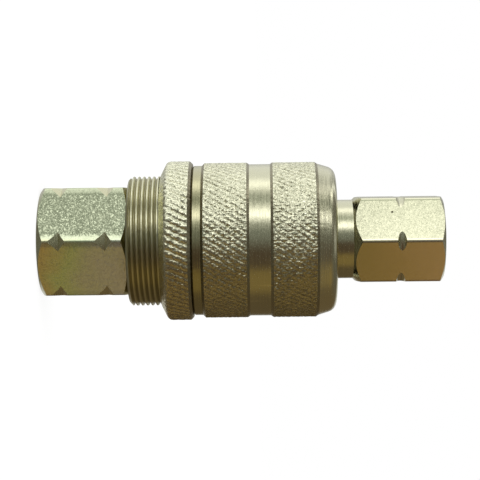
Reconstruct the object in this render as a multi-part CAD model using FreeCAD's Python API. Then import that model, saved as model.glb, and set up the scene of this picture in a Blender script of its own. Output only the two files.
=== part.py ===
import FreeCAD, Part
import math
import os

# Quick coupler joined to its plug. Sizes are in millimetres. The set stands on its inlet end
# with the common axis on +Z and the plug at the top.

# Inlet adapter
ADAPTER_HEX_AF = 32.0  # across the flats
ADAPTER_HEX_LENGTH = 26.4
INLET_CHAMFER = 36.0  # degrees against the inlet end
ADAPTER_PORT_D = 18.63  # core of the half-inch pipe thread
ADAPTER_PORT_DEPTH = 16.0
ADAPTER_FLOW_D = 16.0
SPIGOT_SHOULDER = 3.0  # from the hexagon's flats in to the spigot that screws into the body
SPIGOT_LENGTH = 7.0
ADAPTER_NOTCH_LOW = 6.7  # root of the lower identity notch, from the inlet end
ADAPTER_NOTCH_HIGH = 6.0  # root of the upper one, from the hexagon's other end
ADAPTER_NOTCH_DEPTH = 1.4  # below the hexagon's corners
ADAPTER_NOTCH_RISE = 3.3  # notch flank towards the inlet
ADAPTER_NOTCH_FALL = 2.1  # notch flank towards the ring

# Coupler body
THREAD_PITCH = 1.5
THREAD_DEPTH = 0.9
THREAD_SHOWN = 9.7  # bare thread between adapter and lock ring
THREAD_UNDER_SLEEVE = 4.4  # thread above the lock ring, inside the sleeve
SPRING_SHOULDER = 3.7  # seat of the sleeve spring, from the barrel out to the thread's crests
BARREL_STEP = 1.1  # from the barrel inside the spring in to the front that guides the sleeve
SOCKET_DEPTH = 33.4  # plug socket, from the mouth
MOUTH_SETBACK = 0.6  # mouth below the sleeve's end
CHAMBER_D = 22.4  # around the coupler's valve
SEAT_D = 14.4  # hole closed by the coupler's valve
SEAT_LAND = 1.4

# Lock ring
RING_WALL = 4.5  # over the thread's crests
RING_WIDTH = 9.4
RING_LEAD = 2.0  # height of the sloped lower side
RING_ROUND = 1.6  # between the sloped side and the rim
RING_EDGE = 0.8
RING_GAP = 0.10  # between lock ring and sleeve when locked

# Sleeve, as bands from its lower end upwards
KNURL_BAND = 13.4  # width of each of the two gripping bands
KNURL_WALL = 3.9  # their radius over the thread's crests
REAR_BAND = 3.2
REAR_DROP = 0.85  # the smooth bands lie this far below the gripping bands
WAIST_BAND = 7.0
WAIST_DROP = 0.55
BAND_SLOPE = 0.8  # width of the slope between two bands
NOSE_BAND = 5.8
NOSE_DROP = 2.2
NOSE_ROUND = 3.2
SLEEVE_TRAVEL = 7.5  # five turns of the lock ring
SKIRT_GAP = 0.32  # between the sleeve's skirt and the thread's crests
FLANGE_HEIGHT = 4.0  # inner flange that guides the sleeve
FLANGE_TO_BALL = 3.0
RAMP_MARGIN = 0.6
MOUTH_LIP = 1.6
SPRING_WIRE = 2.2
SPRING_TURNS = 4.0
STOP_WIRE = 1.2  # round wire of the ring that stops the sleeve

# Locking balls
BALL_D = 5.0
BALL_COUNT = 8
BALL_GRIP = 1.1  # how far a locked ball stands in the plug's groove
BALL_LIFT = 1.2  # how far it moves outwards to let the plug go
BALL_PROUD = 1.1  # from the body's front out to the sleeve's land over the locked balls
BALL_SEAT_ANGLE = 30.0  # side of the ball's conical seat against the hole's axis
BALL_SEAT_REACH = 0.8  # share of the ball's radius that the seat goes in from its centre

# Plug
PLUG_D = 23.7
NECK_LENGTH = 5.0  # bare neck between sleeve and hexagon
PLUG_HEX_OVER = 1.3  # across the flats, over the plug's diameter
PLUG_HEX_LENGTH = 27.1
PLUG_HEX_TURN = 3.5  # degrees about the axis against the adapter's hexagon
PLUG_PORT_D = 14.95  # core of the three-eighth-inch pipe thread
PLUG_PORT_DEPTH = 15.0
PLUG_CHAMBER_D = 14.6
PLUG_SEAT_D = 9.6
PLUG_NOTCH_R = 1.32  # round groove across the corners, halfway up the hexagon
PLUG_NOSE_CHAMFER = 1.5
NOSE_GAP = 0.5  # between plug and socket floor

# Valves
VALVE_LIFT = 3.5  # off the seat while joined
VALVE_FLOAT = 1.5  # the joined valves can move this far either way
VALVE_RIM = 2.0
COUPLER_VALVE_D = 19.8
COUPLER_STEM_D = 6.0
COUPLER_SPRING_WIRE = 1.1
PLUG_VALVE_D = 12.6
PLUG_STEM_D = 4.4
PLUG_SPRING_WIRE = 0.8
PLUG_SPRING_ROOM = 7.0
VALVE_SPRING_TURNS = 4.5
VALVE_TIP_GAP = 0.05
VALVE_SEAL_WIRE = 1.4
GUIDE_HEIGHT = 2.6
GUIDE_WALL = 1.4  # of the guide's tube
FLOW_HOLES = 6  # in each guide's disc
FLOW_HOLE_SHARE = 0.72  # their diameter in the room between tube and rim
CLIP_WIRE = 1.0

# Seals
PLUG_SEAL_WIRE = 1.64
BACKUP_WIDTH = 1.3
ADAPTER_SEAL_WIRE = 1.9
SEAL_ROOM = 0.10

# Clearances on the radius
FIT = 0.05  # fixed and threaded pieces
RUNNING = 0.08  # sliding and turning pieces
BALL_PLAY = 0.05

# General edges
HEX_EDGE = 0.9
EDGE = 0.5

TAN_30 = math.tan(math.radians(30.0))
AXIS = FreeCAD.Vector(0, 0, 1)

# Heights
Z_REAR = ADAPTER_HEX_LENGTH
Z_RING_LOW = Z_REAR + THREAD_SHOWN
Z_RING_TOP = Z_RING_LOW + RING_WIDTH
Z_THREAD_TOP = Z_RING_TOP + THREAD_UNDER_SLEEVE
Z_SLEEVE_LOW = Z_RING_TOP + RING_GAP
Z_KNURL_LOW = Z_SLEEVE_LOW + REAR_BAND
Z_WAIST_LOW = Z_KNURL_LOW + KNURL_BAND
Z_WAIST_TOP = Z_WAIST_LOW + WAIST_BAND
Z_NOSE_LOW = Z_WAIST_TOP + KNURL_BAND
Z_SLEEVE_TOP = Z_NOSE_LOW + NOSE_BAND
Z_PLUG_HEX = Z_SLEEVE_TOP + NECK_LENGTH
Z_PLUG_TOP = Z_PLUG_HEX + PLUG_HEX_LENGTH
Z_RAMP_TOP = Z_SLEEVE_TOP - MOUTH_LIP
Z_BALL = Z_RAMP_TOP - RAMP_MARGIN - SLEEVE_TRAVEL
Z_FLANGE_TOP = Z_BALL - BALL_D / 2 - FLANGE_TO_BALL
Z_FLANGE_LOW = Z_FLANGE_TOP - FLANGE_HEIGHT
Z_STEP = Z_FLANGE_LOW - SLEEVE_TRAVEL - RING_GAP
Z_MOUTH = Z_SLEEVE_TOP - MOUTH_SETBACK
Z_FLOOR = Z_MOUTH - SOCKET_DEPTH
Z_SEAT_TOP = Z_FLOOR - SEAT_LAND
Z_SEAT_LOW = Z_SEAT_TOP - (CHAMBER_D - SEAT_D) / 2
Z_NOSE = Z_FLOOR + NOSE_GAP
Z_SEAL_LOW = Z_NOSE + PLUG_NOSE_CHAMFER + 2 * SEAL_ROOM
Z_BACKUP = Z_SEAL_LOW + PLUG_SEAL_WIRE + SEAL_ROOM
Z_SEAL_TOP = Z_BACKUP + BACKUP_WIDTH + SEAL_ROOM
Z_GUIDE = Z_REAR + SPIGOT_LENGTH
Z_CHAMBER = Z_GUIDE + GUIDE_HEIGHT
Z_TIPS = Z_NOSE + NOSE_GAP
Z_PLUG_SEAT_LOW = Z_NOSE + PLUG_NOSE_CHAMFER
Z_PLUG_SEAT_TOP = Z_PLUG_SEAT_LOW + (PLUG_CHAMBER_D - PLUG_SEAT_D) / 2

# Diameters and radii that build on each other, from the plug outwards
PLUG_HEX_AF = PLUG_D + PLUG_HEX_OVER
R_SOCKET = PLUG_D / 2 + RUNNING
R_SEAL_GROOVE = PLUG_D / 2 + PLUG_SEAL_WIRE + 2 * FIT
R_BALL = PLUG_D / 2 - BALL_GRIP + BALL_D / 2
R_LAND = R_BALL + BALL_D / 2 + BALL_PLAY
RAMP = BALL_LIFT / SLEEVE_TRAVEL
FRONT_D = 2 * (R_LAND - BALL_PROUD)
BARREL_D = FRONT_D + 2 * BARREL_STEP
THREAD_D = BARREL_D + 2 * SPRING_SHOULDER
R_SKIRT = THREAD_D / 2 + SKIRT_GAP
RING_D = THREAD_D + 2 * RING_WALL
KNURL_D = THREAD_D + 2 * KNURL_WALL
REAR_BAND_D = KNURL_D - 2 * REAR_DROP
WAIST_D = KNURL_D - 2 * WAIST_DROP
NOSE_END_D = KNURL_D - 2 * NOSE_DROP
SPIGOT_D = ADAPTER_HEX_AF - 2 * SPIGOT_SHOULDER


def turned(points):
    """A solid of revolution about the axis from a closed outline of (radius, height) points."""
    corners = [FreeCAD.Vector(r, 0, z) for r, z in points]
    outline = Part.makePolygon(corners + [corners[0]])
    return Part.Face(outline).revolve(FreeCAD.Vector(0, 0, 0), AXIS, 360)


def drum(diameter, low, high):
    """An upright cylinder on the axis."""
    return Part.makeCylinder(diameter / 2, high - low, FreeCAD.Vector(0, 0, low))


def round_ring(mean_r, wire, z):
    """A ring of round section about the axis."""
    return Part.makeTorus(mean_r, wire / 2, FreeCAD.Vector(0, 0, z))


def rounded(shape, radius, edge_r, edge_z):
    """The solid with its circular edges of one radius and height rounded."""
    edges = [
        e
        for e in shape.Edges
        if isinstance(e.Curve, Part.Circle)
        and abs(e.Curve.Radius - edge_r) < 1e-4
        and abs(e.Curve.Center.z - edge_z) < 1e-4
    ]
    return shape.makeFillet(radius, edges)


def hexagon(across_flats, low, high, turn):
    """An upright hexagonal bar with slightly rounded corners, one corner at -Y before turning."""
    corner_r = across_flats / math.sqrt(3)
    corners = []
    for i in range(7):
        angle = math.radians(60 * i - 90 + turn)
        corners.append(FreeCAD.Vector(corner_r * math.cos(angle), corner_r * math.sin(angle), low))
    bar = Part.Face(Part.makePolygon(corners)).extrude(FreeCAD.Vector(0, 0, high - low))
    upright = [e for e in bar.Edges if abs(e.Vertexes[0].Z - e.Vertexes[1].Z) > 1e-3]
    return bar.makeFillet(HEX_EDGE, upright)


def spring(mean_r, wire, turns, low, high):
    """A compression spring between two seats, its ends ground flat."""
    pitch = (high - low) / turns
    path = Part.makeHelix(pitch, high - low, mean_r)
    path.translate(FreeCAD.Vector(0, 0, low))
    start = FreeCAD.Vector(mean_r, 0, low)
    along = FreeCAD.Vector(0, 2 * math.pi * mean_r, pitch)
    section = Part.Wire(Part.makeCircle(wire / 2, start, along))
    coil = Part.Wire(path).makePipeShell([section], True, True)
    return coil.common(drum(2 * mean_r + 4 * wire, low, high))


def adapter():
    """Inlet hexagon with two turned notches, a port and a spigot that screws into the body."""
    flat_r = ADAPTER_HEX_AF / 2
    corner_r = ADAPTER_HEX_AF / math.sqrt(3)
    chamfer = (corner_r - flat_r) * TAN_30
    low_r = flat_r - EDGE
    low_chamfer = (corner_r - low_r) * math.tan(math.radians(INLET_CHAMFER))
    blank = [
        (0, 0),
        (low_r, 0),
        (corner_r, low_chamfer),
        (corner_r, Z_REAR - chamfer),
        (flat_r, Z_REAR),
        (0, Z_REAR),
    ]
    body = hexagon(ADAPTER_HEX_AF, 0, Z_REAR, 0).common(turned(blank))
    for height in (ADAPTER_NOTCH_LOW, Z_REAR - ADAPTER_NOTCH_HIGH):
        flank = [
            (corner_r, height - ADAPTER_NOTCH_RISE),
            (corner_r - ADAPTER_NOTCH_DEPTH, height),
            (corner_r, height + ADAPTER_NOTCH_FALL),
        ]
        body = body.cut(turned(flank))
    spigot_r = SPIGOT_D / 2
    spigot = turned(
        [
            (0, Z_REAR - EDGE),
            (spigot_r, Z_REAR - EDGE),
            (spigot_r, Z_GUIDE - EDGE),
            (spigot_r - EDGE, Z_GUIDE),
            (0, Z_GUIDE),
        ]
    )
    port_r = ADAPTER_PORT_D / 2
    flow_r = ADAPTER_FLOW_D / 2
    passage = turned(
        [
            (0, 0),
            (port_r + 2 * EDGE, 0),
            (port_r, 2 * EDGE),
            (port_r, ADAPTER_PORT_DEPTH),
            (flow_r, ADAPTER_PORT_DEPTH + (port_r - flow_r)),
            (flow_r, Z_GUIDE),
            (0, Z_GUIDE),
        ]
    )
    return body.fuse(spigot).cut(passage).removeSplitter()


def ball_angle(index):
    """Direction of one ball about the axis, in radians."""
    return 2 * math.pi * index / BALL_COUNT


def ball_hole(index):
    """Radial hole for one ball, narrowing to a conical seat that keeps it from falling inwards."""
    angle = ball_angle(index)
    out = FreeCAD.Vector(math.cos(angle), math.sin(angle), 0)
    level = FreeCAD.Vector(0, 0, Z_BALL)
    slope = math.tan(math.radians(BALL_SEAT_ANGLE))
    hole_r = BALL_D / 2 + BALL_PLAY
    mid_r = BALL_D / 2 / math.cos(math.radians(BALL_SEAT_ANGLE)) + BALL_PLAY
    wide = R_BALL - (mid_r - hole_r) / slope
    seat_depth = BALL_SEAT_REACH * BALL_D / 2
    narrow = R_BALL - seat_depth
    tip_r = mid_r - seat_depth * slope
    seat = Part.makeCone(tip_r, hole_r, wide - narrow, level + out * narrow, out)
    bore = Part.makeCylinder(hole_r, FRONT_D / 2 + BALL_D - wide, level + out * wide, out)
    return seat.fuse(bore)


def thread_outline(low, high):
    """Outline of the lock thread between two heights, with its grooves as rings."""
    crest_r = THREAD_D / 2
    half_width = THREAD_DEPTH * TAN_30
    count = int((high - low) / THREAD_PITCH)
    outline = [(crest_r, low)]
    for i in range(count):
        middle = low + (i + 0.5) * THREAD_PITCH
        outline.append((crest_r, middle - half_width))
        outline.append((crest_r - THREAD_DEPTH, middle))
        outline.append((crest_r, middle + half_width))
    return outline + [(crest_r, high)]


def coupler_body():
    """Threaded body with the plug socket, the valve chamber and the ball holes."""
    thread_r = THREAD_D / 2
    spigot_r = SPIGOT_D / 2 + FIT
    seal_r = SPIGOT_D / 2 + ADAPTER_SEAL_WIRE + 2 * SEAL_ROOM
    seal_z = Z_REAR + ADAPTER_SEAL_WIRE + SEAL_ROOM
    front_r = FRONT_D / 2
    body = turned(
        [
            (seal_r, Z_REAR),
            (thread_r - THREAD_DEPTH, Z_REAR),
            *thread_outline(Z_REAR + THREAD_DEPTH, Z_THREAD_TOP - THREAD_DEPTH),
            (thread_r - THREAD_DEPTH, Z_THREAD_TOP),
            (BARREL_D / 2, Z_THREAD_TOP),
            (BARREL_D / 2, Z_STEP),
            (front_r, Z_STEP),
            (front_r, Z_MOUTH - EDGE),
            (front_r - EDGE, Z_MOUTH),
            (R_SOCKET + EDGE, Z_MOUTH),
            (R_SOCKET, Z_MOUTH - EDGE),
            (R_SOCKET, Z_SEAL_TOP),
            (R_SEAL_GROOVE, Z_SEAL_TOP),
            (R_SEAL_GROOVE, Z_SEAL_LOW),
            (R_SOCKET, Z_SEAL_LOW),
            (R_SOCKET, Z_FLOOR),
            (SEAT_D / 2, Z_FLOOR),
            (SEAT_D / 2, Z_SEAT_TOP),
            (CHAMBER_D / 2, Z_SEAT_LOW),
            (CHAMBER_D / 2, Z_CHAMBER),
            (spigot_r, Z_CHAMBER),
            (spigot_r, seal_z),
            (seal_r, seal_z),
        ]
    )
    body = body.cut(round_ring(FRONT_D / 2, STOP_WIRE + 2 * FIT, Z_FLANGE_TOP + STOP_WIRE / 2 + FIT))
    for index in range(BALL_COUNT):
        body = body.cut(ball_hole(index))
    return body


def adapter_seal():
    """Round sealing ring between adapter and body."""
    mean_r = SPIGOT_D / 2 + ADAPTER_SEAL_WIRE / 2 + SEAL_ROOM
    return round_ring(mean_r, ADAPTER_SEAL_WIRE, Z_REAR + ADAPTER_SEAL_WIRE / 2 + SEAL_ROOM / 2)


def lock_ring():
    """Threaded ring behind the sleeve; screwed up against it, it locks the coupler."""
    bore_r = THREAD_D / 2 + FIT
    outer_r = RING_D / 2
    ring = turned(
        [
            (bore_r, Z_RING_LOW),
            (bore_r + EDGE, Z_RING_LOW),
            (outer_r, Z_RING_LOW + RING_LEAD),
            (outer_r, Z_RING_TOP - RING_EDGE),
            (outer_r - RING_EDGE, Z_RING_TOP),
            (bore_r + EDGE, Z_RING_TOP),
            (bore_r, Z_RING_TOP - EDGE),
        ]
    )
    return rounded(ring, RING_ROUND, outer_r, Z_RING_LOW + RING_LEAD)


def ramp_r(z):
    """Radius of the sleeve's ball ramp at a height; it keeps one small gap over the balls' way."""
    over_ball = R_BALL + BALL_D / 2 * math.hypot(1, RAMP) + BALL_PLAY
    return over_ball + RAMP * (z - Z_BALL)


def sleeve():
    """Sliding sleeve with two gripping bands, an inner guide flange and the ball ramp."""
    knurl_r = KNURL_D / 2
    waist_r = WAIST_D / 2
    flange_r = FRONT_D / 2 + RUNNING
    ramp_low = Z_BALL - (ramp_r(Z_BALL) - R_LAND) / RAMP
    shell = turned(
        [
            (R_SKIRT + EDGE, Z_SLEEVE_LOW),
            (REAR_BAND_D / 2 - EDGE, Z_SLEEVE_LOW),
            (REAR_BAND_D / 2, Z_SLEEVE_LOW + EDGE),
            (REAR_BAND_D / 2, Z_KNURL_LOW - BAND_SLOPE / 2),
            (knurl_r, Z_KNURL_LOW + BAND_SLOPE / 2),
            (knurl_r, Z_WAIST_LOW - BAND_SLOPE / 2),
            (waist_r, Z_WAIST_LOW + BAND_SLOPE / 2),
            (waist_r, Z_WAIST_TOP - BAND_SLOPE / 2),
            (knurl_r, Z_WAIST_TOP + BAND_SLOPE / 2),
            (knurl_r, Z_NOSE_LOW - BAND_SLOPE / 2),
            (waist_r, Z_NOSE_LOW + BAND_SLOPE / 2),
            (NOSE_END_D / 2, Z_SLEEVE_TOP),
            (ramp_r(Z_RAMP_TOP) + EDGE, Z_SLEEVE_TOP),
            (ramp_r(Z_RAMP_TOP), Z_SLEEVE_TOP - EDGE),
            (ramp_r(Z_RAMP_TOP), Z_RAMP_TOP),
            (R_LAND, ramp_low),
            (R_LAND, Z_FLANGE_TOP),
            (flange_r, Z_FLANGE_TOP),
            (flange_r, Z_FLANGE_LOW),
            (R_SKIRT, Z_FLANGE_LOW),
            (R_SKIRT, Z_SLEEVE_LOW + EDGE),
        ]
    )
    return rounded(shell, NOSE_ROUND, NOSE_END_D / 2, Z_SLEEVE_TOP)


def sleeve_spring():
    """Spring that pushes the sleeve up to its locked place."""
    mean_r = (BARREL_D / 2 + R_SKIRT) / 2
    return spring(mean_r, SPRING_WIRE, SPRING_TURNS, Z_THREAD_TOP, Z_FLANGE_LOW)


def stop_ring():
    """Wire ring in the body that stops the sleeve's flange."""
    return round_ring(FRONT_D / 2, STOP_WIRE, Z_FLANGE_TOP + STOP_WIRE / 2 + FIT)


def locking_ball(index):
    """One ball in the plug's groove."""
    angle = ball_angle(index)
    centre = FreeCAD.Vector(R_BALL * math.cos(angle), R_BALL * math.sin(angle), Z_BALL)
    return Part.makeSphere(BALL_D / 2, centre)


def plug_seal():
    """Round sealing ring around the plug's nose."""
    mean_r = R_SEAL_GROOVE - FIT - PLUG_SEAL_WIRE / 2
    return round_ring(mean_r, PLUG_SEAL_WIRE, Z_SEAL_LOW + PLUG_SEAL_WIRE / 2 + SEAL_ROOM / 2)


def backup_ring():
    """Flat ring that keeps the plug's seal in its groove."""
    inner_r = PLUG_D / 2 + FIT
    outer_r = R_SEAL_GROOVE - FIT
    top = Z_BACKUP + BACKUP_WIDTH
    return turned([(inner_r, Z_BACKUP), (outer_r, Z_BACKUP), (outer_r, top), (inner_r, top)])


def valve(head_d, seat_d, stem_d, seal_z, outline_from):
    """A valve head with a conical face, both stems and the groove for its seal.

    outline_from gives the heights of tip, cone top, rim edge, head back and stem end.
    """
    tip, cone, rim, back, end = outline_from
    stem_r = stem_d / 2
    nose_r = seat_d / 2 - 2 * EDGE
    body = turned(
        [
            (0, tip),
            (stem_r, tip),
            (stem_r, cone),
            (nose_r, cone),
            (head_d / 2, rim),
            (head_d / 2, back),
            (stem_r, back),
            (stem_r, end),
            (0, end),
        ]
    )
    mean_r = (nose_r + head_d / 2) / 2
    return body.cut(round_ring(mean_r, VALVE_SEAL_WIRE, seal_z))


COUPLER_RIM = Z_SEAT_TOP - (COUPLER_VALVE_D - SEAT_D) / 2 - VALVE_LIFT
COUPLER_CONE = COUPLER_RIM + COUPLER_VALVE_D / 2 - (SEAT_D / 2 - 2 * EDGE)
COUPLER_BACK = COUPLER_RIM - VALVE_RIM
PLUG_RIM = Z_PLUG_SEAT_LOW + (PLUG_VALVE_D - PLUG_SEAT_D) / 2 + VALVE_LIFT
PLUG_CONE = PLUG_RIM - PLUG_VALVE_D / 2 + (PLUG_SEAT_D / 2 - 2 * EDGE)
PLUG_BACK = PLUG_RIM + VALVE_RIM
Z_PLUG_GUIDE = PLUG_BACK + PLUG_SPRING_ROOM


def coupler_valve():
    """Coupler's valve, held open by the plug's valve."""
    end = Z_GUIDE - VALVE_FLOAT
    heights = (Z_TIPS, COUPLER_CONE, COUPLER_RIM, COUPLER_BACK, end)
    return valve(COUPLER_VALVE_D, SEAT_D, COUPLER_STEM_D, (COUPLER_CONE + COUPLER_RIM) / 2, heights)


def plug_valve():
    """Plug's valve, held open by the coupler's valve."""
    end = Z_PLUG_GUIDE + GUIDE_HEIGHT + VALVE_FLOAT
    heights = (Z_TIPS + VALVE_TIP_GAP, PLUG_CONE, PLUG_RIM, PLUG_BACK, end)
    return valve(PLUG_VALVE_D, PLUG_SEAT_D, PLUG_STEM_D, (PLUG_CONE + PLUG_RIM) / 2, heights)


def valve_seal(head_d, seat_d, z):
    """Sealing ring in a valve's conical face."""
    mean_r = (seat_d / 2 - 2 * EDGE + head_d / 2) / 2
    return round_ring(mean_r, VALVE_SEAL_WIRE - 2 * BALL_PLAY, z)


def valve_guide(outer_r, stem_d, disc, tube_end):
    """Guide disc with flow holes and a tube that ends where the valve's way back ends."""
    low, high = disc
    tube_r = stem_d / 2 + RUNNING + GUIDE_WALL
    body = drum(2 * outer_r, low, high).fuse(drum(2 * tube_r, min(low, tube_end), max(high, tube_end)))
    body = body.cut(drum(stem_d + 2 * RUNNING, min(low, tube_end), max(high, tube_end)))
    hole_r = FLOW_HOLE_SHARE * (outer_r - tube_r) / 2
    mid_r = (outer_r + tube_r) / 2
    for i in range(FLOW_HOLES):
        angle = 2 * math.pi * i / FLOW_HOLES
        centre = FreeCAD.Vector(mid_r * math.cos(angle), mid_r * math.sin(angle), low)
        body = body.cut(Part.makeCylinder(hole_r, high - low, centre))
    return body.removeSplitter()


def coupler_valve_guide():
    """Guide clamped between the adapter's spigot and the body."""
    tube_end = COUPLER_BACK - VALVE_FLOAT - VALVE_TIP_GAP
    return valve_guide(SPIGOT_D / 2, COUPLER_STEM_D, (Z_GUIDE, Z_CHAMBER), tube_end)


def coupler_valve_spring():
    """Spring that closes the coupler's valve when the plug is out."""
    tube_r = COUPLER_STEM_D / 2 + RUNNING + GUIDE_WALL
    mean_r = tube_r + COUPLER_SPRING_WIRE
    return spring(mean_r, COUPLER_SPRING_WIRE, VALVE_SPRING_TURNS, Z_CHAMBER, COUPLER_BACK)


def plug_valve_guide():
    """Guide that stands against the clip in the plug's bore."""
    disc = (Z_PLUG_GUIDE, Z_PLUG_GUIDE + GUIDE_HEIGHT)
    tube_end = PLUG_BACK + VALVE_FLOAT + VALVE_TIP_GAP
    return valve_guide(PLUG_CHAMBER_D / 2 - FIT, PLUG_STEM_D, disc, tube_end)


def plug_valve_spring():
    """Spring that closes the plug's valve when the plug is out."""
    tube_r = PLUG_STEM_D / 2 + RUNNING + GUIDE_WALL
    mean_r = tube_r + PLUG_SPRING_WIRE
    return spring(mean_r, PLUG_SPRING_WIRE, VALVE_SPRING_TURNS, PLUG_BACK, Z_PLUG_GUIDE)


def plug_clip():
    """Wire clip in a groove of the plug's bore, behind the guide."""
    z = Z_PLUG_GUIDE + GUIDE_HEIGHT + CLIP_WIRE / 2
    return round_ring(PLUG_CHAMBER_D / 2, CLIP_WIRE, z)


def plug_body():
    """Plug with its lock groove, neck, hexagon and outlet port."""
    nose_r = PLUG_D / 2
    corner_r = PLUG_HEX_AF / math.sqrt(3)
    top_r = PLUG_HEX_AF / 2 - EDGE
    top_chamfer = (corner_r - top_r) * TAN_30
    shank = turned(
        [
            (0, Z_NOSE),
            (nose_r - PLUG_NOSE_CHAMFER, Z_NOSE),
            (nose_r, Z_NOSE + PLUG_NOSE_CHAMFER),
            (nose_r, Z_PLUG_HEX + EDGE),
            (0, Z_PLUG_HEX + EDGE),
        ]
    )
    blank = turned(
        [
            (0, Z_PLUG_HEX),
            (nose_r, Z_PLUG_HEX),
            (corner_r, Z_PLUG_HEX + corner_r - nose_r),
            (corner_r, Z_PLUG_TOP - top_chamfer),
            (top_r, Z_PLUG_TOP),
            (0, Z_PLUG_TOP),
        ]
    )
    head = hexagon(PLUG_HEX_AF, Z_PLUG_HEX, Z_PLUG_TOP, PLUG_HEX_TURN).common(blank)
    head = head.cut(round_ring(corner_r, 2 * PLUG_NOTCH_R, (Z_PLUG_HEX + Z_PLUG_TOP) / 2 + EDGE))
    shank = shank.cut(round_ring(R_BALL, BALL_D + 2 * RUNNING, Z_BALL))
    chamber_r = PLUG_CHAMBER_D / 2
    port_r = PLUG_PORT_D / 2
    passage = turned(
        [
            (0, Z_NOSE),
            (PLUG_SEAT_D / 2, Z_NOSE),
            (PLUG_SEAT_D / 2, Z_PLUG_SEAT_LOW),
            (chamber_r, Z_PLUG_SEAT_TOP),
            (chamber_r, Z_PLUG_TOP - PLUG_PORT_DEPTH),
            (port_r, Z_PLUG_TOP - PLUG_PORT_DEPTH + EDGE),
            (port_r, Z_PLUG_TOP - 2 * EDGE),
            (port_r + 2 * EDGE, Z_PLUG_TOP),
            (0, Z_PLUG_TOP),
        ]
    )
    clip_z = Z_PLUG_GUIDE + GUIDE_HEIGHT + CLIP_WIRE / 2
    body = head.fuse(shank).cut(passage)
    return body.cut(round_ring(chamber_r, CLIP_WIRE + 2 * FIT, clip_z)).removeSplitter()


PARTS = {
    "coupler_adapter": adapter(),
    "adapter_seal": adapter_seal(),
    "coupler_body": coupler_body(),
    "lock_ring": lock_ring(),
    "sleeve": sleeve(),
    "sleeve_spring": sleeve_spring(),
    "sleeve_stop_ring": stop_ring(),
    "plug_seal": plug_seal(),
    "backup_ring": backup_ring(),
    "coupler_valve": coupler_valve(),
    "coupler_valve_seal": valve_seal(COUPLER_VALVE_D, SEAT_D, (COUPLER_CONE + COUPLER_RIM) / 2),
    "coupler_valve_spring": coupler_valve_spring(),
    "coupler_valve_guide": coupler_valve_guide(),
    "plug_body": plug_body(),
    "plug_valve": plug_valve(),
    "plug_valve_seal": valve_seal(PLUG_VALVE_D, PLUG_SEAT_D, (PLUG_CONE + PLUG_RIM) / 2),
    "plug_valve_spring": plug_valve_spring(),
    "plug_valve_guide": plug_valve_guide(),
    "plug_valve_clip": plug_clip(),
}
for number in range(BALL_COUNT):
    PARTS["locking_ball_%d" % (number + 1)] = locking_ball(number)

os.makedirs("parts", exist_ok=True)
for name, shape in PARTS.items():
    shape.exportStep("parts/%s.step" % name)
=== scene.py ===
"""Looks of the quick coupler: yellow plated steel, rolled knurls, threads, springs, seals and the studio."""

import logging
import math
from dataclasses import dataclass
from enum import Enum
from typing import Callable, Mapping, Sequence

import bmesh
import bpy
import numpy as np
from mathutils import Matrix, Vector


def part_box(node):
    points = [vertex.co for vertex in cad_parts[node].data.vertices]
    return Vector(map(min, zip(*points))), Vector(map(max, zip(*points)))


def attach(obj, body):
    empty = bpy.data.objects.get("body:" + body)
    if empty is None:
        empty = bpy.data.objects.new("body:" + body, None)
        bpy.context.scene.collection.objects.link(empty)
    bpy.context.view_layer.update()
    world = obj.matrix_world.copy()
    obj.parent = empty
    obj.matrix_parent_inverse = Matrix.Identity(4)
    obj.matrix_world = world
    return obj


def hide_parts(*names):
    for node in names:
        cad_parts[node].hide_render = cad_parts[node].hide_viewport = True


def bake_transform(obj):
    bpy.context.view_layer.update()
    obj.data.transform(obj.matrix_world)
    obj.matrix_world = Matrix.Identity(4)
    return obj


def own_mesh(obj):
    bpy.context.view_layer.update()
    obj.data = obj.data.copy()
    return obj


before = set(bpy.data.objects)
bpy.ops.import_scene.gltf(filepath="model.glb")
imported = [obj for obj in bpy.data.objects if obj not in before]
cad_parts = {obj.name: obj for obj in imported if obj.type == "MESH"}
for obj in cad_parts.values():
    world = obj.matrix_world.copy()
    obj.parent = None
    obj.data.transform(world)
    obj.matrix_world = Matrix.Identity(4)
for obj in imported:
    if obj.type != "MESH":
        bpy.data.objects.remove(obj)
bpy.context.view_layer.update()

LOG = logging.getLogger("quick_coupler")
Point = tuple[float, float]
Colour = tuple[float, float, float]
Array = np.ndarray
Piece = bpy.types.Object
Material = bpy.types.Material
FaceTest = Callable[[Array, Array], Array]

MM = 0.001
# Corners closer than the first are merged, and a corner is found again within the second
DOUBLES = 0.0005 * MM
NEAR = 0.002 * MM
# Depth of the lock thread and reach of a thread's cutter past the crests, in millimetres
THREAD_DEPTH = 0.9
PAST_CREST = 0.12
BALLS = 8
# The edge of a patch that has no end
NEVER: Point = (1.0e6, 2.0e6)
WHITE: Colour = (1.0, 1.0, 1.0)
# Painted shade for the knurls' grooves
GROOVE_SHADE_TINT: Colour = (0.42, 0.38, 0.22)
SPECK_TINT: Colour = (0.26, 0.23, 0.13)
# Painted shade for the thread's roots
ROOT_SHADE_TINT: Colour = (0.20, 0.17, 0.10)
MARK_TINT: Colour = (0.60, 0.58, 0.38)


class Slot(Enum):
    """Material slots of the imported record."""

    PLATED = "zinc_plated_steel"
    SPRING = "spring_steel"


class Surface(Enum):
    """How a plated surface was made before it was plated."""

    TURNED = "turned"
    DRAWN = "drawn"
    KNURLED = "knurled"
    THREADED = "threaded"


# Shader maths


def operator(kind: str, *, reflected: bool = False) -> Callable[["Value", "Value | float"], "Value"]:
    """An operator's method, which adds a Math node over a value and another term.

    Args:
        kind: The Math node's operation.
        reflected: Whether the other term comes first.

    Returns:
        The method.
    """

    def method(value: "Value", other: "Value | float") -> "Value":
        """Adds the node with the terms in their order."""
        return value.math_node(kind, *((other, value) if reflected else (value, other)))

    return method


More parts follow.
